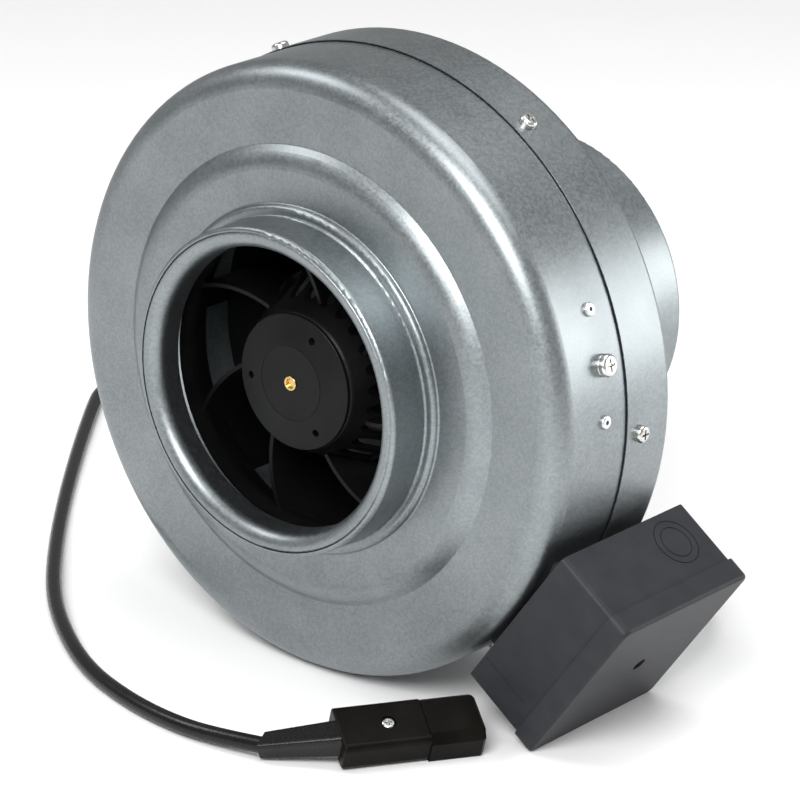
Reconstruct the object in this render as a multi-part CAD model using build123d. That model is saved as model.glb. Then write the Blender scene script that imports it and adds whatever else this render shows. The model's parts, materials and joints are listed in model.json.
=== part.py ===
from build123d import *
import math
import os

# Inline duct fan for round ducts.  Millimetres, +Z up, airflow along +Y.
# The origin is on the fan's axis, in the plane where the inlet duct stops on its collar.
# The fan lies on its casing band and on the lower edge of the terminal box lid.

# ---- driving dimensions: casing ----
SHEET = 1.0                 # galvanised sheet
SPIGOT_R = 79.5             # outside radius of both spigots, for a 160 mm duct
HEM_R = 77.2                # the spigot's edge is turned in to this radius
INLET_RIM_Y = -22.3
BAND_R = 149.95             # outside of the front band
REAR_BAND_R = 151.0         # the rear shell laps over the front one
FACE_Y = 8.2                # front plane of the casing
RAISED_FACE_Y = 3.0         # raised ring around the inlet spigot
LAP_Y = 58.4                # edge of the rear shell
FRONT_END_Y = 76.0          # hidden edge of the front shell
REAR_BEND_Y = 89.5
OUTLET_ROOT_Y = 150.0
OUTLET_RIM_Y = 195.0
THROAT_R = 69.0             # throat of the inlet bell mouth
NOZZLE_END_Y = -6.0
FLOOR_Z = -REAR_BAND_R

# ---- fasteners on the band ----
CASING_SCREWS = 6
CASING_SCREW_ANGLE = -1.4   # first screw, degrees from +X towards +Z
CASING_SCREW_Y = 68.0
ARM_ANGLES = (13.4, 133.4, 253.4)
BRACKET_SCREW_Y = 43.6
RIVET_Y = 42.2
RIVET_SPREAD = 10.1         # degrees from the arm's screw to each rivet

# ---- impeller and motor ----
BLADES = 7
BLADE_PHASE = 155.8         # where the first blade meets the inlet ring
IMPELLER_R = 95.0
BACKPLATE_Y = 57.0
HUB_R = 49.0
COVER_R = 33.2
SLOTS = 24
SLOT_END_Y = 30.0
RING_R = 72.2               # inside of the impeller's inlet ring
PLASTIC = 2.2
RING_WALL = 1.6
CAN_R = 46.7
CAN_FRONT_Y, CAN_REAR_Y = 34.0, 80.0
SHAFT_R = 4.0
AIR_GAP_R = 38.0            # outside of the stator
AIR_GAP = 0.4
CORE_Y = (44.0, 74.0)
BEARING_Y = (43.5, 82.5)    # centres of the two ball bearings
BEARING_R, BEARING_W = 11.0, 7.0
BALLS = 8
PLATE_Y = 86.0              # front face of the motor spider
PLATE_T = 2.0

# ---- terminal box, in its own frame: x outwards, y along the fan, z up its side ----
BOX_L, BOX_W = 92.0, 91.0
BOX_Y = 59.2                # middle of the box along the fan
BOX_FLOOR, BOX_SEAM, BOX_TOP = 152.0, 187.4, 198.8
BOX_WALL = 2.5
BOX_CORNER = 3.2
LID_OVERHANG = 1.5
LID_EDGE = 2.0
LEAD_Y = 81.0
LEAD_R = 2.6
GLAND_X, GLAND_Z = 170.0, -18.0
GLAND_END_Y = 129.0

# The box hangs at the angle where its lid's lower edge just reaches the floor.
_reach = BOX_TOP - LID_EDGE
_half = BOX_W / 2 + LID_OVERHANG - LID_EDGE
BOX_ANGLE = -math.degrees(
    math.asin((-FLOOR_Z - LID_EDGE) / math.hypot(_reach, _half)) - math.atan2(_half, _reach)
)

# ---- supply cord ----
CORD_D = 8.0
BOOT_START = (52.0, -76.5, -144.0)
PLUG_START = (78.92, -56.65, -138.58)
PLUG_YAW, PLUG_ROLL = 57.9, 23.9
PLUG_BODY = (41.7, 26.8, 15.2)
PLUG_NOSE = (26.7, 28.2, 16.6)


# ---------------------------------------------------------------- helpers
def around(shape, degrees):
    """Turn a shape about the fan's axis, from +X towards +Z."""
    return Rot(0, -degrees, 0) * shape


def cyl_y(radius, y0, y1, x=0.0, z=0.0):
    """Cylinder along Y from y0 to y1."""
    return Pos(x, (y0 + y1) / 2, z) * Rot(90, 0, 0) * Cylinder(radius, y1 - y0)


def cyl_x(radius, x0, x1, y=0.0, z=0.0):
    """Cylinder along X from x0 to x1."""
    return Pos((x0 + x1) / 2, y, z) * Rot(0, 90, 0) * Cylinder(radius, x1 - x0)


def block(x0, x1, y0, y1, z0, z1):
    """Box between two corners."""
    middle = Pos((x0 + x1) / 2, (y0 + y1) / 2, (z0 + z1) / 2)
    return middle * Box(x1 - x0, y1 - y0, z1 - z0)


def ring_y(r_in, r_out, y0, y1):
    """Plain ring about the fan's axis."""
    return cyl_y(r_out, y0, y1) - cyl_y(r_in, y0 - 1, y1 + 1)


def turned(points, radii=None):
    """Solid of revolution about the fan's axis from a closed outline of (radius, y)."""
    radii = radii or [0.0] * len(points)
    outline = FilletPolyline(*points, radius=radii, close=True)
    return revolve(make_face(outline.edges()), Axis.Y)


def offset_left(points, distance):
    """The points of a polyline moved sideways by a distance, mitred at its corners."""
    sides = []
    for (x0, y0), (x1, y1) in zip(points, points[1:]):
        length = math.hypot(x1 - x0, y1 - y0)
        sides.append(((y0 - y1) / length, (x1 - x0) / length))
    moved = []
    for i, (x, y) in enumerate(points):
        ax, ay = sides[max(i - 1, 0)]
        bx, by = sides[min(i, len(sides) - 1)]
        scale = distance / (1 + ax * bx + ay * by)
        moved.append((x + (ax + bx) * scale, y + (ay + by) * scale))
    return moved


def turn_signs(points):
    """+1 at each corner where the polyline turns left, -1 where it turns right."""
    signs = []
    for (x0, y0), (x1, y1), (x2, y2) in zip(points, points[1:], points[2:]):
        cross = (x1 - x0) * (y2 - y1) - (y1 - y0) * (x2 - x1)
        signs.append(1 if cross > 0 else -1)
    return signs


def sheet_metal(points, radii, thickness):
    """Revolved sheet whose outer skin follows (radius, y) points; the wall is on their left."""
    inner = offset_left(points, thickness)
    inner_radii = [r - sign * thickness for r, sign in zip(radii, turn_signs(points))]
    outline = list(points) + inner[::-1]
    return turned(outline, [0.0] + list(radii) + [0.0, 0.0] + inner_radii[::-1] + [0.0])


def group(shapes):
    """Separate solids that share one node."""
    return Compound([solid for shape in shapes for solid in shape.solids()])


def pan_screw(head_r, head_h, shank_r, length):
    """Cross-recess screw along X: its head stands on x = 0, its shank runs to -length."""
    head = cyl_x(head_r, 0, head_h)
    head = fillet(head.edges().sort_by(Axis.X)[-1], head_h * 0.55)
    arm, width, depth = head_r * 1.15, head_r * 0.24, head_h * 0.6
    for angle in (0, 90):
        head -= Pos(head_h, 0, 0) * Rot(angle, 0, 0) * Box(2 * depth, arm, width)
    return head + cyl_x(shank_r, -length, 0.2)


# ---------------------------------------------------------------- casing
INLET_SKIN = [
    (HEM_R, INLET_RIM_Y),
    (SPIGOT_R, INLET_RIM_Y),
    (SPIGOT_R, 0.0),
    (SPIGOT_R + 4.5, 0.0),
    (SPIGOT_R + 5.5, RAISED_FACE_Y),
    (105.5, RAISED_FACE_Y),
    (112.0, FACE_Y),
    (BAND_R, FACE_Y),
    (BAND_R, FRONT_END_Y),
]
OUTLET_SKIN = [
    (REAR_BAND_R, LAP_Y),
    (REAR_BAND_R, REAR_BEND_Y),
    (112.0, 112.0),
    (SPIGOT_R + 5.5, OUTLET_ROOT_Y - 3.0),
    (SPIGOT_R + 4.5, OUTLET_ROOT_Y),
    (SPIGOT_R, OUTLET_ROOT_Y),
    (SPIGOT_R, OUTLET_RIM_Y),
    (HEM_R, OUTLET_RIM_Y),
]


def screw_angles():
    return [CASING_SCREW_ANGLE + 360 / CASING_SCREWS * i for i in range(CASING_SCREWS)]


def rivet_angles():
    return [arm + side * RIVET_SPREAD for arm in ARM_ANGLES for side in (-1, 1)]


def box_screw_places():
    """Places of the four screws that hold the terminal box, in the box frame."""
    return [(y, z) for y in (30.0, 52.0) for z in (-16.0, 16.0)]


def inlet_casing():
    shell = sheet_metal(INLET_SKIN, [1.9, 1.2, 2.4, 1.0, 13.0, 0.8, 12.0], SHEET)
    for angle in screw_angles():
        shell -= around(cyl_x(2.05, 140, 160, CASING_SCREW_Y), angle)
    for angle in ARM_ANGLES:
        shell -= around(cyl_x(3.05, 140, 160, BRACKET_SCREW_Y), angle)
    for angle in rivet_angles():
        shell -= around(cyl_x(1.65, 140, 160, RIVET_Y), angle)
    for y, z in box_screw_places():
        shell -= around(cyl_x(1.95, 140, 160, y, z), BOX_ANGLE)
    return shell


def outlet_casing():
    shell = sheet_metal(OUTLET_SKIN, [4.0, 12.0, 1.2, 2.4, 1.2, 1.9], SHEET)
    lap_r = REAR_BAND_R - SHEET
    lap_gap = [(lap_r - 1, LAP_Y - 1), (lap_r + 0.6, LAP_Y - 1), (lap_r + 0.6, LAP_Y), (lap_r - 1, LAP_Y + 4)]
    shell -= turned(lap_gap)
    for angle in screw_angles():
        shell -= around(cyl_x(2.05, 140, 160, CASING_SCREW_Y), angle)
    return shell - around(cyl_x(4.25, 140, 160, LEAD_Y), BOX_ANGLE)


def inlet_nozzle():
    """Bell mouth: throat tube, rolled lip and the return that sits inside the hem."""
    outer = HEM_R - 0.05
    skin = [(THROAT_R, NOZZLE_END_Y), (THROAT_R, INLET_RIM_Y), (outer, INLET_RIM_Y), (outer, -10.0)]
    return sheet_metal(skin, [6.7, 1.2], SHEET)


def casing_screws():
    screw = Pos(REAR_BAND_R, CASING_SCREW_Y, 0) * pan_screw(4.3, 3.2, 2.0, 6.0)
    return group([around(screw, angle) for angle in screw_angles()])


# ---------------------------------------------------------------- motor carrier
TAB_R = 148.8               # outside of the tabs riveted inside the band
TAB_HALF_ANGLE = 13.2
STATOR_SCREW_R = 32.0


def motor_bracket():
    """Three-arm spider: a centre plate, flat arms, and tabs folded along the band."""
    rear = PLATE_Y + PLATE_T
    plate = cyl_y(44.0, PLATE_Y, rear)
    wedge = Polyline((0, 0), (200, -200 * math.tan(math.radians(TAB_HALF_ANGLE))),
                     (200, 200 * math.tan(math.radians(TAB_HALF_ANGLE))), close=True)
    sector = Pos(0, 100, 0) * Rot(90, 0, 0) * extrude(make_face(wedge.edges()), 100)
    tab = ring_y(TAB_R - PLATE_T, TAB_R, 32.0, rear) & sector
    for angle in ARM_ANGLES:
        arm = block(30, TAB_R - 1.0, PLATE_Y, rear, -17, 17) + tab
        arm -= cyl_x(3.05, 140, 160, BRACKET_SCREW_Y)
        arm -= cyl_y(9.0, PLATE_Y - 1, rear + 1, 92.0)
        for side in (-1, 1):
            arm -= around(cyl_x(1.65, 140, 160, RIVET_Y), side * RIVET_SPREAD)
        plate += around(arm, angle)
    plate -= cyl_y(13.0, PLATE_Y - 1, rear + 1)
    for i in range(4):
        plate -= around(cyl_y(2.05, PLATE_Y - 1, rear + 1, STATOR_SCREW_R), 45 + 90 * i)
    return plate - around(cyl_y(3.2, PLATE_Y - 1, rear + 1, 24.0), BOX_ANGLE)


def bracket_screws():
    screw = Pos(BAND_R + 2.0, BRACKET_SCREW_Y, 0) * pan_screw(5.4, 3.2, 3.0, 8.0)
    return group([around(screw, angle) for angle in ARM_ANGLES])


def bracket_washers():
    washer = cyl_x(5.4, BAND_R, BAND_R + 2.0, BRACKET_SCREW_Y)
    washer = fillet(washer.edges().sort_by(Axis.X)[-1], 0.6)
    washer -= cyl_x(3.05, BAND_R - 1, BAND_R + 3, BRACKET_SCREW_Y)
    return group([around(washer, angle) for angle in ARM_ANGLES])


def bracket_rivets():
    head = cyl_x(3.3, BAND_R, BAND_R + 1.7, RIVET_Y)
    head = fillet(head.edges().sort_by(Axis.X)[-1], 0.9)
    rivet = head + cyl_x(1.6, TAB_R - 4.0, BAND_R + 0.2, RIVET_Y)
    rivet += cyl_x(2.6, TAB_R - PLATE_T - 2.4, TAB_R - PLATE_T - 0.1, RIVET_Y)
    rivet -= cyl_x(1.1, TAB_R - 1.0, BAND_R + 3.0, RIVET_Y)
    return group([around(rivet, angle) for angle in rivet_angles()])


def motor_screws():
    screw = Rot(0, 0, 90) * pan_screw(3.6, 2.6, 2.0, 5.5)
    screw = Pos(STATOR_SCREW_R, PLATE_Y + PLATE_T, 0) * screw
    return group([around(screw, 45 + 90 * i) for i in range(4)])


# ---------------------------------------------------------------- motor, still part
BUSH_R = 14.0
SLOT_COUNT = 12


def stator_flange():
    """Cast flange with the bush that carries both bearings."""
    front = BEARING_Y[0] - BEARING_W / 2
    body = cyl_y(42.0, 81.5, PLATE_Y) + cyl_y(BUSH_R, front, PLATE_Y)
    body -= cyl_y(9.0, front - 1, PLATE_Y + 1)
    for y in BEARING_Y:
        body -= cyl_y(BEARING_R, y - BEARING_W / 2 - 0.01, y + BEARING_W / 2 + 0.01)
    for i in range(4):
        body -= around(cyl_y(2.05, 82.0, PLATE_Y + 1, STATOR_SCREW_R), 45 + 90 * i)
    return body


def slot_tool(margin):
    """Radial winding slot, smaller by a margin for the copper in it."""
    return block(20 + margin, 33 - margin, CORE_Y[0] - 1, CORE_Y[1] + 1, -3 + margin, 3 - margin)


def stator_core():
    core = ring_y(BUSH_R + 0.02, AIR_GAP_R, *CORE_Y)
    for i in range(SLOT_COUNT):
        core -= around(slot_tool(0.0), 360 / SLOT_COUNT * i)
    return core


def stator_windings():
    copper = ring_y(17.5, 35.5, CORE_Y[0] - 5.0, CORE_Y[0] - 0.1)
    copper += ring_y(17.5, 35.5, CORE_Y[1] + 0.1, CORE_Y[1] + 6.0)
    copper = fillet(copper.edges().filter_by(GeomType.CIRCLE), 1.8)
    for i in range(SLOT_COUNT):
        copper += around(slot_tool(0.15), 360 / SLOT_COUNT * i)
    return copper


def bearing_outer_rings():
    rings = [ring_y(9.0, BEARING_R - 0.01, y - BEARING_W / 2, y + BEARING_W / 2) for y in BEARING_Y]
    return group(rings)


def bearing_inner_rings():
    rings = [ring_y(SHAFT_R + 0.01, 5.7, y - BEARING_W / 2, y + BEARING_W / 2) for y in BEARING_Y]
    return group(rings)


def bearing_balls():
    ball = Pos(7.4, 0, 0) * Sphere(1.55)
    balls = []
    for y in BEARING_Y:
        balls += [around(Pos(0, y, 0) * ball, 360 / BALLS * i) for i in range(BALLS)]
    return group(balls)


def motor_lead():
    """Sheathed lead from the stator, behind the spider and out through the band."""
    points = [(24.0, PLATE_Y), (24.0, 98.0), (108.0, 98.0), (126.0, LEAD_Y), (163.0, LEAD_Y)]
    path = FilletPolyline(*points, radius=[8.0, 12.0, 12.0])
    section = Plane(origin=(24.0, PLATE_Y, 0), z_dir=(0, 1, 0)) * Circle(LEAD_R)
    return around(sweep(section, path=path), BOX_ANGLE)


def lead_grommet():
    grommet = cyl_x(4.2, 149.0, BOX_FLOOR + BOX_WALL + 1.0, LEAD_Y)
    grommet += cyl_x(4.9, 148.2, 149.9, LEAD_Y)
    grommet += cyl_x(6.5, BOX_FLOOR + BOX_WALL, BOX_FLOOR + BOX_WALL + 1.8, LEAD_Y)
    grommet -= cyl_x(LEAD_R + 0.03, 140, 170, LEAD_Y)
    return around(grommet, BOX_ANGLE)


# ---------------------------------------------------------------- rotor and impeller
HUB_FRONT_Y = 1.0
HUB_SKIN = [(22.0, HUB_FRONT_Y), (COVER_R, HUB_FRONT_Y), (HUB_R, 32.0), (HUB_R, BACKPLATE_Y),
            (IMPELLER_R, BACKPLATE_Y)]
HUB_RADII = [3.0, 20.0, 3.0]
RING_SKIN = [(IMPELLER_R, 35.0), (80.0, 26.0), (RING_R, 9.0), (RING_R, 0.0)]
RING_RADII = [14.0, 12.0]
HUB_SCREW_R = 26.0
HUB_SCREW_SEAT = 9.0        # bottom of the deep holes for the hub's screws
HUB_SCREW_ANGLES = (64.0, -55.0, -174.0)


def rotor_can():
    can = cyl_y(CAN_R, CAN_FRONT_Y, CAN_REAR_Y) - cyl_y(CAN_R - 2.6, CAN_FRONT_Y + 3, CAN_REAR_Y + 1)
    can = fillet(can.edges().sort_by(Axis.Y)[0], 2.0)
    can += cyl_y(8.0, CAN_FRONT_Y + 2, BEARING_Y[0] - BEARING_W / 2 - 1.5)
    can += cyl_y(5.6, CAN_FRONT_Y + 2, BEARING_Y[0] - BEARING_W / 2)
    can -= cyl_y(SHAFT_R + 0.01, 0, 90)
    for angle in HUB_SCREW_ANGLES:
        can -= around(cyl_y(1.15, CAN_FRONT_Y - 1, CAN_FRONT_Y + 4, HUB_SCREW_R), angle)
    return can


def rotor_core():
    return ring_y(AIR_GAP_R + AIR_GAP, CAN_R - 2.62, *CORE_Y)


def rotor_end_rings():
    inner, outer = AIR_GAP_R + AIR_GAP, CAN_R - 2.62
    front = ring_y(inner, outer, CORE_Y[0] - 3.5, CORE_Y[0])
    rear = ring_y(inner, outer, CORE_Y[1], CORE_Y[1] + 3.5)
    return group([front, rear])


def motor_shaft():
    shaft = cyl_y(SHAFT_R, 6.5, 89.5)
    shaft = chamfer(shaft.edges().filter_by(GeomType.CIRCLE), 0.5)
    return shaft - ring_y(3.4, 5.0, 86.2, 87.3)


def shaft_circlip():
    clip = ring_y(3.45, 6.2, 86.3, 87.2)
    return clip - block(0, 8, 86, 88, -1.6, 1.6)


def impeller_hub():
    """Slotted hub over the rotor, with the flat back plate moulded on it."""
    hub = sheet_metal(HUB_SKIN, HUB_RADII, PLASTIC)
    slot = make_hull((Pos(40.8, 0) * Circle(3.5)).edges() + (Pos(52.0, 0) * Circle(4.6)).edges())
    tool = Pos(0, SLOT_END_Y, 0) * Rot(90, 0, 0) * extrude(slot, SLOT_END_Y + 2)
    for i in range(SLOTS):
        hub -= around(tool, 360 / SLOTS * (i + 0.25))
    for angle in HUB_SCREW_ANGLES:
        boss = cyl_y(4.0, HUB_FRONT_Y + 1, CAN_FRONT_Y, HUB_SCREW_R)
        hub += around(boss, angle)
        hub -= around(cyl_y(1.15, 0, CAN_FRONT_Y + 1, HUB_SCREW_R), angle)
        hub -= around(cyl_y(1.8, 0, HUB_SCREW_SEAT, HUB_SCREW_R), angle)
    return hub


def hub_cover():
    """Flat-topped disc over the hub, with a bored centre and three screw holes."""
    front, back = -3.0, HUB_FRONT_Y - 0.05
    outline = [(3.65, front), (18.3, front), (COVER_R, -0.6), (COVER_R, back), (3.65, back)]
    cover = turned(outline, [0.0, 6.0, 0.5, 0.0, 0.0])
    for angle in HUB_SCREW_ANGLES:
        cover -= around(cyl_y(1.8, -5, 4, HUB_SCREW_R), angle)
    return cover - ring_y(18.1, 18.5, front - 1, front + 0.2)


def hub_screws():
    screws = []
    for angle in HUB_SCREW_ANGLES:
        head = cyl_y(1.7, HUB_SCREW_SEAT - 1.4, HUB_SCREW_SEAT, HUB_SCREW_R)
        head -= Pos(HUB_SCREW_R, HUB_SCREW_SEAT - 1.4, 0) * Box(2.6, 0.8, 0.5)
        screw = head + cyl_y(1.1, HUB_SCREW_SEAT - 0.2, CAN_FRONT_Y + 3, HUB_SCREW_R)
        screws.append(around(screw, angle))
    return group(screws)


def hub_pin():
    """Brass centre pin, its rounded end standing just proud of the cover."""
    pin = cyl_y(3.6, -3.8, 6.4) - cyl_y(2.3, -5, -2.4)
    return fillet(pin.edges().group_by(Axis.Y)[0], 0.5)


def impeller_inlet_ring():
    return sheet_metal(RING_SKIN, RING_RADII, RING_WALL)


def blade_room():
    """The space between hub, back plate and inlet ring, which the blades fill."""
    skin = FilletPolyline(*RING_SKIN, radius=RING_RADII)
    close_it = Polyline((RING_R, 0.0), (0.0, 0.0), (0.0, BACKPLATE_Y),
                        (IMPELLER_R, BACKPLATE_Y), (IMPELLER_R, 35.0))
    room = revolve(make_face(skin.edges() + close_it.edges()), Axis.Y)
    front_cut = turned([(0, -1), (RING_R + 5, -1), (RING_R + 5, 6.5), (38.0, 10.0), (0, 10.0)])
    hub_skin = FilletPolyline(*HUB_SKIN, radius=HUB_RADII)
    hub_close = Polyline((IMPELLER_R, BACKPLATE_Y), (0.0, BACKPLATE_Y), (0.0, HUB_FRONT_Y),
                         (22.0, HUB_FRONT_Y))
    hub_core = revolve(make_face(hub_skin.edges() + hub_close.edges()), Axis.Y)
    return room - front_cut - hub_core


BLADE_CURVE = [(38.0, -23.0), (54.0, -12.5), (RING_R, 0.0), (85.0, 11.5), (IMPELLER_R + 3, 25.0)]
BLADE_T = 2.0


def blade_plate():
    """One backward-curved blade as a plate along Y, before it is trimmed."""
    def at(radius, degrees):
        angle = math.radians(degrees)
        return (radius * math.cos(angle), radius * math.sin(angle))
    line = Spline(*[at(r, a) for r, a in BLADE_CURVE])
    plate = trace(line, BLADE_T)
    return Pos(0, 60.0, 0) * Rot(90, 0, 0) * extrude(plate, 60.0)


def impeller_blades():
    room = blade_room()
    blade = room & blade_plate()
    return [around(blade, BLADE_PHASE + 360 / BLADES * i) for i in range(BLADES)]


# ---------------------------------------------------------------- terminal box
def rounded_prism(length, width, corner, x0, x1):
    """Rounded rectangle in Y and Z, run along X, centred on the box."""
    plane = Plane(origin=(x0, BOX_Y, 0), x_dir=(0, 1, 0), z_dir=(1, 0, 0))
    return extrude(plane * RectangleRounded(length, width, corner), x1 - x0)


def in_place(shape):
    return around(shape, BOX_ANGLE)


KNOCKOUT = (168.2, 82.6)
KNOCKOUT_RADII = (8.0, 11.7)
SCREW_WELL = 180.0          # bottom of the deep well for the lid screw
LIP_OUTER = (88.6, 87.6)    # the lip that the lid's gasket sits on
LIP_INNER = (85.4, 84.4)
LIP_CORNER = 2.4


def knockout_groove(radius):
    """Thin round groove in the box's upper side wall."""
    return Pos(*KNOCKOUT, BOX_W / 2) * (Cylinder(radius + 0.6, 0.9) - Cylinder(radius, 2.0))


def terminal_box_base():
    base = rounded_prism(BOX_L, BOX_W, BOX_CORNER, BOX_FLOOR, BOX_SEAM)
    base = fillet(base.faces().sort_by(Axis.X)[0].edges(), 0.5)
    inner = (BOX_L - 2 * BOX_WALL, BOX_W - 2 * BOX_WALL, 1.5)
    base -= rounded_prism(*inner, BOX_FLOOR + BOX_WALL, BOX_SEAM + 1)
    lip = rounded_prism(*LIP_OUTER, LIP_CORNER, BOX_SEAM - 2, BOX_SEAM + 2.6)
    lip -= rounded_prism(*LIP_INNER, 1.4, BOX_SEAM - 3, BOX_SEAM + 3)
    base += lip
    base += cyl_x(5.5, BOX_FLOOR + 1, 176.0, BOX_Y)
    base -= cyl_x(1.7, 160.0, 177.0, BOX_Y)
    for y, z in box_screw_places():
        base -= cyl_x(2.05, 150, 160, y, z)
    base -= cyl_x(4.25, 150, 160, LEAD_Y)
    base -= cyl_y(8.05, 100, 110, GLAND_X, GLAND_Z)
    for radius in KNOCKOUT_RADII:
        base -= knockout_groove(radius)
    front = BOX_Y - BOX_L / 2
    base += block(BOX_FLOOR + 1.5, 181.0, front - 0.4, front + 0.5, -29.8, -29.0)
    return in_place(base)


def terminal_box_lid():
    grown = 2 * LID_OVERHANG
    length, width = BOX_L + grown, BOX_W + grown
    lid = rounded_prism(length, width, BOX_CORNER + LID_OVERHANG, BOX_SEAM, BOX_TOP)
    lid = fillet(lid.faces().sort_by(Axis.X)[-1].edges(), LID_EDGE)
    lid -= rounded_prism(length - 5, width - 5, 3.0, BOX_SEAM - 1, BOX_TOP - BOX_WALL)
    rib = rounded_prism(*LIP_OUTER, LIP_CORNER, BOX_SEAM + 3.7, BOX_TOP - 1)
    lid += rib - rounded_prism(*LIP_INNER, 1.4, BOX_SEAM + 3, BOX_TOP - BOX_WALL)
    lid += cyl_x(5.5, 176.1, BOX_TOP - 1, BOX_Y)
    lid -= cyl_x(3.7, SCREW_WELL, BOX_TOP + 1, BOX_Y)
    lid -= cyl_x(2.0, 170, BOX_TOP, BOX_Y)
    return in_place(lid)


def lid_gasket():
    gasket = rounded_prism(*LIP_OUTER, LIP_CORNER, BOX_SEAM + 2.65, BOX_SEAM + 3.65)
    gasket -= rounded_prism(*LIP_INNER, 1.4, BOX_SEAM + 2, BOX_SEAM + 4)
    return in_place(gasket)


def lid_screw():
    return in_place(Pos(SCREW_WELL, BOX_Y, 0) * pan_screw(3.2, 2.6, 1.65, 18.0))


def box_screws():
    screw = pan_screw(3.4, 2.4, 1.9, 9.0)
    floor = BOX_FLOOR + BOX_WALL
    return group([in_place(Pos(floor, y, z) * screw) for y, z in box_screw_places()])


def box_pad():
    """Soft pad that fills the space between the round band and the box's flat floor."""
    pad = block(144, BOX_FLOOR, 24, 86, -30, 30)
    pad -= cyl_y(BAND_R + 0.03, 0, LAP_Y)
    pad -= cyl_y(REAR_BAND_R + 0.03, LAP_Y - 0.1, 120)
    pad -= cyl_x(4.25, 140, 160, LEAD_Y)
    for y, z in box_screw_places():
        pad -= cyl_x(1.95, 140, 160, y, z)
    return in_place(pad)


BLOCK_Y = (58.0, 96.0)
BLOCK_Z = (14.0, 36.0)
POLES = 4


def pole_places():
    pitch = (BLOCK_Y[1] - BLOCK_Y[0]) / POLES
    return [BLOCK_Y[0] + pitch * (i + 0.5) for i in range(POLES)]


def terminal_block():
    floor = BOX_FLOOR + BOX_WALL
    body = block(floor, floor + 7, *BLOCK_Y, *BLOCK_Z)
    for y in pole_places():
        body += block(floor + 6, floor + 13, y - 3.6, y + 3.6, BLOCK_Z[0] + 2, BLOCK_Z[1] - 2)
        body -= cyl_z(1.7, BLOCK_Z[0] - 1, BLOCK_Z[1] + 1, floor + 9, y)
        for z in (20.0, 30.0):
            body -= cyl_x(1.75, floor + 8, floor + 14, y, z)
    return in_place(body)


def cyl_z(radius, z0, z1, x, y):
    return Pos(x, y, (z0 + z1) / 2) * Cylinder(radius, z1 - z0)


def terminal_screws():
    floor = BOX_FLOOR + BOX_WALL
    screw = cyl_x(1.7, floor + 8.5, floor + 11.5)
    screw -= block(floor + 10.7, floor + 12, -0.3, 0.3, -2, 2)
    places = [(y, z) for y in pole_places() for z in (20.0, 30.0)]
    return group([in_place(Pos(0, y, z) * screw) for y, z in places])


CAP_R = 14.0
CAP_X, CAP_Z = BOX_FLOOR + BOX_WALL + CAP_R + 0.5, -28.4


def capacitor():
    body = cyl_y(CAP_R, 20, 74, CAP_X, CAP_Z)
    body = fillet(body.edges().filter_by(GeomType.CIRCLE), 1.5)
    for side in (-4, 4):
        body += block(CAP_X - 3, CAP_X + 3, 73, 84, CAP_Z + side - 0.4, CAP_Z + side + 0.4)
    return in_place(body)


def capacitor_clip():
    band = cyl_y(CAP_R + 0.5, 44, 52, CAP_X, CAP_Z) - cyl_y(CAP_R + 0.02, 43, 53, CAP_X, CAP_Z)
    band -= block(CAP_X + 6, CAP_X + 20, 43, 53, CAP_Z - 20, CAP_Z + 20)
    return in_place(band)


# ---------------------------------------------------------------- cord entry
def hex_prism(across, y0, y1, x, z):
    plane = Plane(origin=(x, y0, z), x_dir=(1, 0, 0), z_dir=(0, 1, 0))
    return extrude(plane * RegularPolygon(across / 2, 6, major_radius=False), y1 - y0)


def gland_body():
    wall_outside = BOX_Y + BOX_L / 2
    body = hex_prism(22, wall_outside, wall_outside + 5, GLAND_X, GLAND_Z)
    body += cyl_y(8.0, wall_outside - 6.5, wall_outside + 12, GLAND_X, GLAND_Z)
    return in_place(body - cyl_y(CORD_D / 2 + 0.3, 90, 130, GLAND_X, GLAND_Z))


def gland_locknut():
    inside = BOX_Y + BOX_L / 2 - BOX_WALL
    nut = hex_prism(23, inside - 3, inside, GLAND_X, GLAND_Z)
    return in_place(nut - cyl_y(8.03, 90, 110, GLAND_X, GLAND_Z))


def gland_nut():
    """Cap nut that tapers into a sleeve around the cord."""
    start = BOX_Y + BOX_L / 2 + 5.3
    nut = hex_prism(21, start, start + 9, GLAND_X, GLAND_Z)
    cone = Cone(9.6, 5.6, GLAND_END_Y - start - 8)
    nut += Pos(GLAND_X, (start + 8 + GLAND_END_Y) / 2, GLAND_Z) * Rot(-90, 0, 0) * cone
    nut -= cyl_y(8.05, start - 1, BOX_Y + BOX_L / 2 + 12.1, GLAND_X, GLAND_Z)
    return in_place(nut - cyl_y(CORD_D / 2 + 0.05, 90, GLAND_END_Y + 1, GLAND_X, GLAND_Z))


def gland_seal():
    start = BOX_Y + BOX_L / 2 + 4.0
    seal = cyl_y(CORD_D / 2 + 0.29, start, start + 7.9, GLAND_X, GLAND_Z)
    return in_place(seal - cyl_y(CORD_D / 2 + 0.01, 90, 130, GLAND_X, GLAND_Z))


def cord_tail():
    """The end of the cord inside the gland and the box."""
    tail = cyl_y(CORD_D / 2, 88.0, GLAND_END_Y + 2, GLAND_X, GLAND_Z)
    for i, (dx, dz) in enumerate(((0, 1.9), (1.7, -0.9), (-1.7, -0.9))):
        tail += cyl_y(1.2, 80.0 - i, 89.0, GLAND_X + dx, GLAND_Z + dz)
    cut = Plane(origin=CORD_ROUTE[0], z_dir=Vector(*CORD_ROUTE[1]) - Vector(*CORD_ROUTE[0]))
    return in_place(tail) - cut.location * block(-20, 20, -20, 20, 0, 20)


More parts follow.
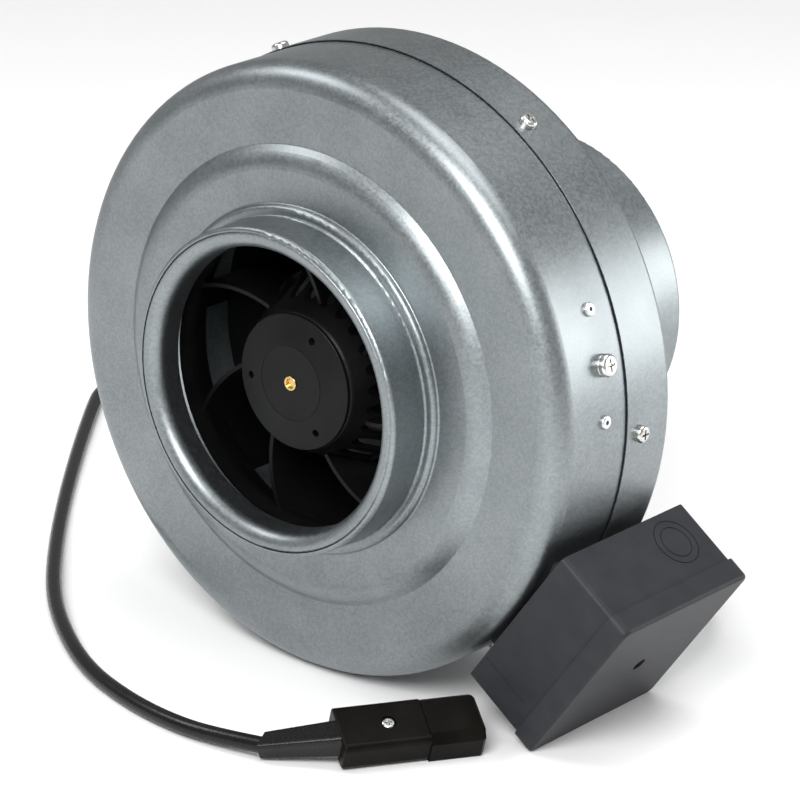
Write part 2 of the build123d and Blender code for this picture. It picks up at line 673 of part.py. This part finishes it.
# ---------------------------------------------------------------- cord and plug
_gland = math.radians(BOX_ANGLE)
CORD_EXIT = (
    GLAND_X * math.cos(_gland) - GLAND_Z * math.sin(_gland),
    GLAND_END_Y,
    GLAND_X * math.sin(_gland) + GLAND_Z * math.cos(_gland),
)
CORD_ROUTE = [
    CORD_EXIT,
    (127.5, 155, -114.6),
    (121, 180, -123),
    (103, 199, -135),
    (74, 209, -144.5),
    (38, 213, -147),
    (-8, 216, -147),
    (-60, 224, -147),
    (-120, 238, -147),
    (-174, 255, -147),
    (-216, 273, -147),
    (-252, 283, -147),
    (-287, 279, -147),
    (-314, 262.5, -147),
    (-329, 236, -147),
    (-325, 205, -147),
    (-305, 177, -147),
    (-268, 128.5, -147),
    (-228.5, 79, -147),
    (-188, 31, -147),
    (-147, -13, -147),
    (-110, -43, -147),
    (-69, -68, -147),
    (-29, -80, -146.8),
    (4, -84, -146.2),
    (29, -82, -145.2),
    BOOT_START,
]


def corner_radii(points):
    """The largest arc at each corner that leaves a tenth of the shorter run straight."""
    radii = []
    for a, b, c in zip(points, points[1:], points[2:]):
        before, after = Vector(*b) - Vector(*a), Vector(*c) - Vector(*b)
        half_turn = math.radians(before.get_angle(after)) / 2
        radii.append(0.45 * min(before.length, after.length) / math.tan(half_turn))
    return radii


def power_cord():
    radii = corner_radii(CORD_ROUTE)
    print("cord arc radii:", [round(r) for r in radii])
    path = FilletPolyline(*CORD_ROUTE, radius=radii)
    start = Vector(*CORD_ROUTE[1]) - Vector(*CORD_ROUTE[0])
    section = Plane(origin=CORD_ROUTE[0], z_dir=start) * Circle(CORD_D / 2)
    cord = sweep(section, path=path)
    length = path.length
    ratio = cord.volume / (math.pi * CORD_D ** 2 / 4 * length)
    print("cord length:", round(length, 1), "volume ratio:", round(ratio, 4))
    return cord


def plug_frame():
    """Frame of the plug: x along it towards its nose, z out of the face with the screw."""
    yaw, roll = math.radians(PLUG_YAW), math.radians(PLUG_ROLL)
    along = (math.cos(yaw), math.sin(yaw), 0)
    up = (math.sin(roll) * math.sin(yaw), -math.sin(roll) * math.cos(yaw), math.cos(roll))
    return Plane(origin=PLUG_START, x_dir=along, z_dir=up)


def soft_block(x0, x1, width, height, edge):
    """Box along x whose four long edges and two ends are rounded."""
    shape = block(x0, x1, -width / 2, width / 2, -height / 2, height / 2)
    shape = fillet(shape.edges().filter_by(Axis.X), edge)
    return fillet(shape.edges().group_by(Axis.X)[0] + shape.edges().group_by(Axis.X)[-1], 1.0)


PLUG_SPLIT = 1.5            # height of the joint between the plug's two halves
PLUG_SCREW_X = 24.0
CONTACTS = ((0.0, 4.6), (-7.0, -1.2), (7.0, -1.2))
CONTACT_TURNS = (90, 0, 0)


def plug_body():
    length, width, height = PLUG_BODY
    return soft_block(0, length + 2, width, height, 3.0)


def plug_nose():
    length, width, height = PLUG_NOSE
    start = PLUG_BODY[0]
    nose = block(start, start + length, -width / 2, width / 2, -height / 2, height / 2)
    lower, upper = nose.edges().filter_by(Axis.X).group_by(Axis.Z)
    nose = chamfer(upper, 4.2)
    lower = nose.edges().filter_by(Axis.X).group_by(Axis.Z)[0]
    nose = fillet(lower, 2.0)
    nose = chamfer(nose.faces().sort_by(Axis.X)[-1].edges(), 1.6)
    end = start + length
    for (y, z), turn in zip(CONTACTS, CONTACT_TURNS):
        nose -= Pos(end - 9, y, z) * Rot(turn, 0, 0) * Box(20, 2.6, 5.4)
    return nose


def plug_cover():
    length, width, height = PLUG_BODY
    upper = block(-1, length - 0.05, -width, width, PLUG_SPLIT + 0.02, height)
    cover = plug_body() & upper
    well = height / 2
    cover -= cyl_z(3.6, well - 2.4, well + 1, PLUG_SCREW_X, 0)
    cover -= cyl_z(1.85, 0, well, PLUG_SCREW_X, 0)
    return plug_frame().location * cover


def plug_base():
    length, width, height = PLUG_BODY
    lower = block(-1, length + 3, -width, width, -height, PLUG_SPLIT)
    base = (plug_body() & lower) + plug_nose()
    base -= cyl_z(1.55, -3.0, PLUG_SPLIT + 1, PLUG_SCREW_X, 0)
    return plug_frame().location * base


def plug_screw():
    head = Rot(0, -90, 0) * pan_screw(3.3, 2.2, 1.5, 7.5)
    top = PLUG_BODY[2] / 2 - 2.38
    return plug_frame().location * (Pos(PLUG_SCREW_X, 0, top) * head)


def plug_contacts():
    end = PLUG_BODY[0] + PLUG_NOSE[0]
    sleeves = []
    for (y, z), turn in zip(CONTACTS, CONTACT_TURNS):
        sleeve = Box(12, 2.4, 5.0) - Pos(1, 0, 0) * Box(12, 1.6, 4.0)
        sleeves.append(plug_frame().location * (Pos(end - 12.5, y, z) * Rot(turn, 0, 0) * sleeve))
    return group(sleeves)


def plug_boot():
    """Square tapered strain relief from the cord's end to the back of the plug."""
    run = Vector(*PLUG_START) - Vector(*BOOT_START)
    across = run.cross(plug_frame().z_dir)
    start, end = Vector(*BOOT_START) - run * 0.1, Vector(*PLUG_START) + run * 0.1
    small = Plane(origin=start, x_dir=across, z_dir=run) * RectangleRounded(9.6, 9.6, 2.2)
    large = Plane(origin=end, x_dir=across, z_dir=run) * RectangleRounded(14.0, 13.4, 2.6)
    boot = loft([small, large])
    cord_end = Plane(origin=BOOT_START, z_dir=Vector(*CORD_ROUTE[-1]) - Vector(*CORD_ROUTE[-2]))
    boot -= cord_end.location * block(-20, 20, -20, 20, -20, 0)
    return boot - plug_frame().location * block(0, 20, -20, 20, -20, 20)


# ---------------------------------------------------------------- all the nodes
NODES = {
    "inlet_casing": inlet_casing,
    "inlet_nozzle": inlet_nozzle,
    "outlet_casing": outlet_casing,
    "casing_screws": casing_screws,
    "motor_bracket": motor_bracket,
    "bracket_screws": bracket_screws,
    "bracket_washers": bracket_washers,
    "bracket_rivets": bracket_rivets,
    "motor_screws": motor_screws,
    "stator_flange": stator_flange,
    "stator_core": stator_core,
    "stator_windings": stator_windings,
    "bearing_outer_rings": bearing_outer_rings,
    "bearing_inner_rings": bearing_inner_rings,
    "bearing_balls": bearing_balls,
    "motor_lead": motor_lead,
    "lead_grommet": lead_grommet,
    "rotor_can": rotor_can,
    "rotor_core": rotor_core,
    "rotor_end_rings": rotor_end_rings,
    "motor_shaft": motor_shaft,
    "shaft_circlip": shaft_circlip,
    "impeller_hub": impeller_hub,
    "hub_cover": hub_cover,
    "hub_screws": hub_screws,
    "hub_pin": hub_pin,
    "impeller_inlet_ring": impeller_inlet_ring,
    "terminal_box_base": terminal_box_base,
    "terminal_box_lid": terminal_box_lid,
    "lid_gasket": lid_gasket,
    "lid_screw": lid_screw,
    "box_screws": box_screws,
    "box_pad": box_pad,
    "terminal_block": terminal_block,
    "terminal_screws": terminal_screws,
    "capacitor": capacitor,
    "capacitor_clip": capacitor_clip,
    "gland_body": gland_body,
    "gland_locknut": gland_locknut,
    "gland_nut": gland_nut,
    "gland_seal": gland_seal,
    "cord_tail": cord_tail,
    "power_cord": power_cord,
    "plug_boot": plug_boot,
    "plug_base": plug_base,
    "plug_cover": plug_cover,
    "plug_screw": plug_screw,
    "plug_contacts": plug_contacts,
}


def build():
    os.makedirs("parts", exist_ok=True)
    shapes = {name: make() for name, make in NODES.items()}
    for i, blade in enumerate(impeller_blades()):
        shapes[f"impeller_blade_{i + 1}"] = blade
    for name, shape in shapes.items():
        export_step(shape, f"parts/{name}.step")


build()
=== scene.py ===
import bpy
import json
import math
from mathutils import Matrix, Vector

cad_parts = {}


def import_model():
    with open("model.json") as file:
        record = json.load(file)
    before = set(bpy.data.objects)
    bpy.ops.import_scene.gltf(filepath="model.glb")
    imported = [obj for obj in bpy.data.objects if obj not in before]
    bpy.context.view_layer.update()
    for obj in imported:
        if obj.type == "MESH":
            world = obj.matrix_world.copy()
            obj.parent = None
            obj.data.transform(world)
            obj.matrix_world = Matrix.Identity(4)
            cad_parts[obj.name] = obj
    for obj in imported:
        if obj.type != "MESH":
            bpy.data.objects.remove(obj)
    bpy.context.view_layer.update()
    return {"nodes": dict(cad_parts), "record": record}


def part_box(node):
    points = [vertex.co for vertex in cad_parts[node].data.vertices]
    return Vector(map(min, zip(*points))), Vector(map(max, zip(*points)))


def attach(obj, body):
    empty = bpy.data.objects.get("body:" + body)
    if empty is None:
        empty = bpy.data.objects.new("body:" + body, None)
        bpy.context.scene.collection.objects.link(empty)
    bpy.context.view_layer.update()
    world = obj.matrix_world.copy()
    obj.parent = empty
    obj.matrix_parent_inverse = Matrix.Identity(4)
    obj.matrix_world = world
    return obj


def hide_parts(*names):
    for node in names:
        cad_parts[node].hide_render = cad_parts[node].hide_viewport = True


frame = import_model()
NODES = frame["nodes"]
FLOOR_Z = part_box("outlet_casing")[0][2]

# ---- camera ----
CAMERA_PLACE = (1.19185, -1.35914, 0.68700)
CAMERA_AIM = (-0.59603, 0.71833, -0.35882)
CAMERA_UP = (-0.25078, 0.25799, 0.93303)
CAMERA_LENS = 186.1

# ---- soft studio light: name, place, size and power of each softbox ----
WORLD_LIGHT = 0.42
LIGHTS = [
    ("key", (0.62, -1.12, 1.0), (0.8, 0.7), 30),
    ("rim", (1.15, 1.35, 0.25), (0.9, 0.75), 12),
    ("fill", (-1.25, -0.7, 1.45), (0.7, 0.7), 12),
    ("overhead", (0.42, 0.5, 2.15), (1.6, 1.6), 30),
]


# ---- plain materials: size of the clouds in grains, and the swing of the roughness ----
CLOUD_PER_GRAIN = 25
GLOSS_SWING = 0.05

# ---- galvanised sheet: sizes in metres ----
CRYSTAL_SIZE = 0.0011
ZINC_CLOUD_SIZE = 0.03
ZINC_GRAIN_SIZE = 0.0007
ZINC_GRAIN_DEPTH = 0.00003

FLOOR_SIZE = 12.0


# ---------------------------------------------------------------- materials
class Shader:
    """A principled material with a few short ways to add procedural detail."""

    def __init__(self, name, roughness, metallic=0.0, specular=0.5):
        self.material = bpy.data.materials.new(name)
        self.material.use_nodes = True
        self.tree = self.material.node_tree
        self.bsdf = self.tree.nodes["Principled BSDF"]
        self.bsdf.inputs["Roughness"].default_value = roughness
        self.bsdf.inputs["Metallic"].default_value = metallic
        self.bsdf.inputs["Specular IOR Level"].default_value = specular
        self.coords = self.node("ShaderNodeTexCoord").outputs["Object"]

    def node(self, kind, **values):
        node = self.tree.nodes.new(kind)
        for key, value in values.items():
            setattr(node, key, value)
        return node

    def link(self, source, target):
        self.tree.links.new(source, target)

    def noise(self, size, detail=2.0):
        """Noise whose features are about size metres across."""
        noise = self.node("ShaderNodeTexNoise")
        noise.inputs["Scale"].default_value = 1.0 / size
        noise.inputs["Detail"].default_value = detail
        self.link(self.coords, noise.inputs["Vector"])
        return noise.outputs["Fac"]

    def cells(self, size):
        """One random value for each crystal of about size metres."""
        cells = self.node("ShaderNodeTexVoronoi")
        cells.inputs["Scale"].default_value = 1.0 / size
        self.link(self.coords, cells.inputs["Vector"])
        grey = self.node("ShaderNodeRGBToBW")
        self.link(cells.outputs["Color"], grey.inputs["Color"])
        return grey.outputs["Val"]

    def spread(self, value, low, high, start=0.3, end=0.7):
        """Maps a value from start..end to low..high."""
        spread = self.node("ShaderNodeMapRange")
        for key, number in zip(("From Min", "From Max", "To Min", "To Max"), (start, end, low, high)):
            spread.inputs[key].default_value = number
        self.link(value, spread.inputs["Value"])
        return spread.outputs["Result"]

    def add(self, first, second):
        total = self.node("ShaderNodeMath", operation="ADD")
        self.link(first, total.inputs[0])
        self.link(second, total.inputs[1])
        return total.outputs["Value"]

    def colour(self, value, dark, light):
        """Base colour between dark and light as value goes from 0 to 1."""
        mix = self.node("ShaderNodeMix", data_type="RGBA")
        self.link(value, mix.inputs["Factor"])
        a, b = [s for s in mix.inputs if s.type == "RGBA"][:2]
        a.default_value = (*dark, 1)
        b.default_value = (*light, 1)
        result = [s for s in mix.outputs if s.type == "RGBA"][0]
        self.link(result, self.bsdf.inputs["Base Color"])

    def roughness(self, value):
        self.link(value, self.bsdf.inputs["Roughness"])

    def bump(self, value, depth):
        bump = self.node("ShaderNodeBump")
        bump.inputs["Strength"].default_value = 1.0
        bump.inputs["Distance"].default_value = depth
        self.link(value, bump.inputs["Height"])
        self.link(bump.outputs["Normal"], self.bsdf.inputs["Normal"])


def galvanised():
    """Zinc-coated sheet: small crystals over wider clouds, in colour and in gloss."""
    shader = Shader("galvanised", 0.4, metallic=1.0)
    crystals = shader.cells(CRYSTAL_SIZE)
    cloud = shader.noise(ZINC_CLOUD_SIZE, detail=4.0)
    fine = shader.noise(ZINC_GRAIN_SIZE, detail=1.0)
    crystal_share = shader.spread(crystals, 0.0, 0.55, 0.2, 0.8)
    total = shader.add(crystal_share, shader.spread(cloud, 0.0, 0.45))
    shader.colour(total, (0.193, 0.213, 0.221), (0.285, 0.310, 0.319))
    shader.roughness(shader.spread(crystals, 0.36, 0.45, 0.0, 1.0))
    shader.bump(fine, ZINC_GRAIN_DEPTH)
    return shader.material


def plain(name, dark, light, roughness, grain, depth, metallic=0.0, specular=0.5):
    """Moulded or turned surface: colour and roughness vary a little, with a fine grain.

    grain is the size of the grain and depth its height, both in metres.
    """
    shader = Shader(name, roughness, metallic, specular)
    cloud = shader.noise(grain * CLOUD_PER_GRAIN, detail=3.0)
    fine = shader.noise(grain, detail=2.0)
    shader.colour(shader.spread(cloud, 0.0, 1.0), dark, light)
    shader.roughness(shader.spread(fine, roughness - GLOSS_SWING, roughness + GLOSS_SWING))
    shader.bump(fine, depth)
    return shader.material


def laminated():
    """Stacked thin sheet, seen as fine lines across the fan's axis."""
    shader = Shader("lamination", 0.45, metallic=0.9)
    stripes = shader.node("ShaderNodeTexWave", bands_direction="Y")
    stripes.inputs["Scale"].default_value = 320.0
    shader.link(shader.coords, stripes.inputs["Vector"])
    shader.colour(stripes.outputs["Fac"], (0.10, 0.10, 0.11), (0.26, 0.26, 0.27))
    shader.bump(stripes.outputs["Fac"], 0.0001)
    return shader.material


def wound():
    """Enamelled wire, seen as fine turns."""
    shader = Shader("copper", 0.32, metallic=0.9)
    stripes = shader.node("ShaderNodeTexWave", bands_direction="DIAGONAL")
    stripes.inputs["Scale"].default_value = 420.0
    stripes.inputs["Distortion"].default_value = 1.5
    shader.link(shader.coords, stripes.inputs["Vector"])
    shader.colour(stripes.outputs["Fac"], (0.30, 0.10, 0.035), (0.72, 0.32, 0.14))
    shader.bump(stripes.outputs["Fac"], 0.0002)
    return shader.material


def make_materials():
    return {
        "galvanised": galvanised(),
        "zinc": plain("zinc", (0.50, 0.50, 0.48), (0.68, 0.68, 0.66), 0.26, 0.0006, 0.00002, 1.0),
        "lamination": laminated(),
        "bearing_steel": plain("bearing_steel", (0.5, 0.5, 0.5), (0.6, 0.6, 0.6), 0.15, 0.001, 0.00001, 1.0),
        "aluminium": plain("aluminium", (0.55, 0.56, 0.57), (0.7, 0.71, 0.72), 0.38, 0.0008, 0.00004, 1.0),
        "copper": wound(),
        "brass": plain("brass", (0.50, 0.34, 0.11), (0.66, 0.48, 0.20), 0.28, 0.0006, 0.00003, 1.0),
        "motor_black": plain("motor_black", (0.010, 0.010, 0.011), (0.02, 0.02, 0.021), 0.4, 0.0008, 0.00003),
        "impeller_plastic": plain("impeller_plastic", (0.0025, 0.0026, 0.0027), (0.005, 0.005, 0.0053),
                                  0.40, 0.0007, 0.00003, specular=0.14),
        "box_plastic": plain("box_plastic", (0.022, 0.023, 0.026), (0.028, 0.029, 0.032),
                             0.44, 0.0005, 0.00002, specular=0.12),
        "gasket_rubber": plain("gasket_rubber", (0.012, 0.012, 0.012), (0.022, 0.022, 0.022),
                               0.75, 0.0008, 0.00005),
        "cord_pvc": plain("cord_pvc", (0.002, 0.002, 0.002), (0.005, 0.005, 0.005),
                          0.28, 0.0012, 0.00003, specular=0.3),
        "plug_plastic": plain("plug_plastic", (0.0025, 0.002, 0.0015), (0.006, 0.005, 0.0035),
                              0.34, 0.0008, 0.00003, specular=0.08),
        "terminal_plastic": plain("terminal_plastic", (0.55, 0.54, 0.50), (0.68, 0.67, 0.62),
                                  0.5, 0.0008, 0.00003),
    }


def dress_frame(materials):
    """Every CAD node takes the material of its slot."""
    for part in frame["record"]["subparts"]:
        node = NODES[part["node"]]
        node.data.materials.clear()
        node.data.materials.append(materials[part["material_slot"]])


# ---------------------------------------------------------------- cord
CORD_D = 0.008
CORD_ROUTE = [
    (0.12954, 0.129, -0.11155),
    (0.1275, 0.155, -0.1146),
    (0.121, 0.180, -0.123),
    (0.103, 0.199, -0.135),
    (0.074, 0.209, -0.1445),
    (0.038, 0.213, -0.147),
    (-0.008, 0.216, -0.147),
    (-0.060, 0.224, -0.147),
    (-0.120, 0.238, -0.147),
    (-0.174, 0.255, -0.147),
    (-0.216, 0.273, -0.147),
    (-0.252, 0.283, -0.147),
    (-0.287, 0.279, -0.147),
    (-0.314, 0.2625, -0.147),
    (-0.329, 0.236, -0.147),
    (-0.325, 0.205, -0.147),
    (-0.305, 0.177, -0.147),
    (-0.268, 0.1285, -0.147),
    (-0.2285, 0.079, -0.147),
    (-0.188, 0.031, -0.147),
    (-0.147, -0.013, -0.147),
    (-0.110, -0.043, -0.147),
    (-0.069, -0.068, -0.147),
    (-0.029, -0.080, -0.1468),
    (0.004, -0.084, -0.1462),
    (0.029, -0.082, -0.1452),
    (0.052, -0.0765, -0.144),
]


def power_cord(materials):
    data = bpy.data.curves.new("supply_cord", "CURVE")
    data.dimensions = "3D"
    data.resolution_u = 12
    data.bevel_depth = CORD_D / 2
    data.bevel_resolution = 8
    data.use_fill_caps = True
    line = data.splines.new("NURBS")
    line.points.add(len(CORD_ROUTE) - 1)
    for point, place in zip(line.points, CORD_ROUTE):
        point.co = (*place, 1)
    line.order_u = 3
    line.use_endpoint_u = True
    cord = bpy.data.objects.new("supply_cord", data)
    bpy.context.scene.collection.objects.link(cord)
    data.materials.append(materials["cord_pvc"])
    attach(cord, "housing")
    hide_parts("power_cord")


# ---------------------------------------------------------------- stage
def camera():
    data = bpy.data.cameras.new("camera")
    data.lens = CAMERA_LENS
    data.sensor_width = 36.0
    data.clip_end = 20.0
    cam = bpy.data.objects.new("camera", data)
    bpy.context.scene.collection.objects.link(cam)
    back = -Vector(CAMERA_AIM).normalized()
    right = Vector(CAMERA_UP).cross(back).normalized()
    up = back.cross(right)
    turn = Matrix((right, up, back)).transposed().to_4x4()
    cam.matrix_world = Matrix.Translation(CAMERA_PLACE) @ turn
    bpy.context.scene.camera = cam


def area_light(name, place, aim, size, power):
    data = bpy.data.lights.new(name, "AREA")
    data.shape = "RECTANGLE"
    data.size, data.size_y = size
    data.energy = power
    light = bpy.data.objects.new(name, data)
    bpy.context.scene.collection.objects.link(light)
    light.location = place
    light.rotation_euler = (Vector(aim) - Vector(place)).to_track_quat("-Z", "Y").to_euler()
    light.visible_camera = False


def floor():
    bpy.ops.mesh.primitive_plane_add(size=FLOOR_SIZE, location=(0, 0, FLOOR_Z))
    plane = bpy.context.object
    plane.name = "floor"
    plane.data.materials.append(plain("pale_floor", (0.86, 0.86, 0.86), (0.88, 0.88, 0.88), 0.6, 0.01, 0.0))


def world():
    sky = bpy.data.worlds.new("studio")
    sky.use_nodes = True
    sky.node_tree.nodes["Background"].inputs["Color"].default_value = (1, 1, 1, 1)
    sky.node_tree.nodes["Background"].inputs["Strength"].default_value = WORLD_LIGHT
    bpy.context.scene.world = sky


def studio():
    world()
    floor()
    for name, place, size, power in LIGHTS:
        area_light(name, place, (0, 0.05, 0), size, power)


# ---------------------------------------------------------------- the whole scene
bpy.context.scene.view_settings.view_transform = "Standard"
materials = make_materials()
dress_frame(materials)
power_cord(materials)
camera()
studio()
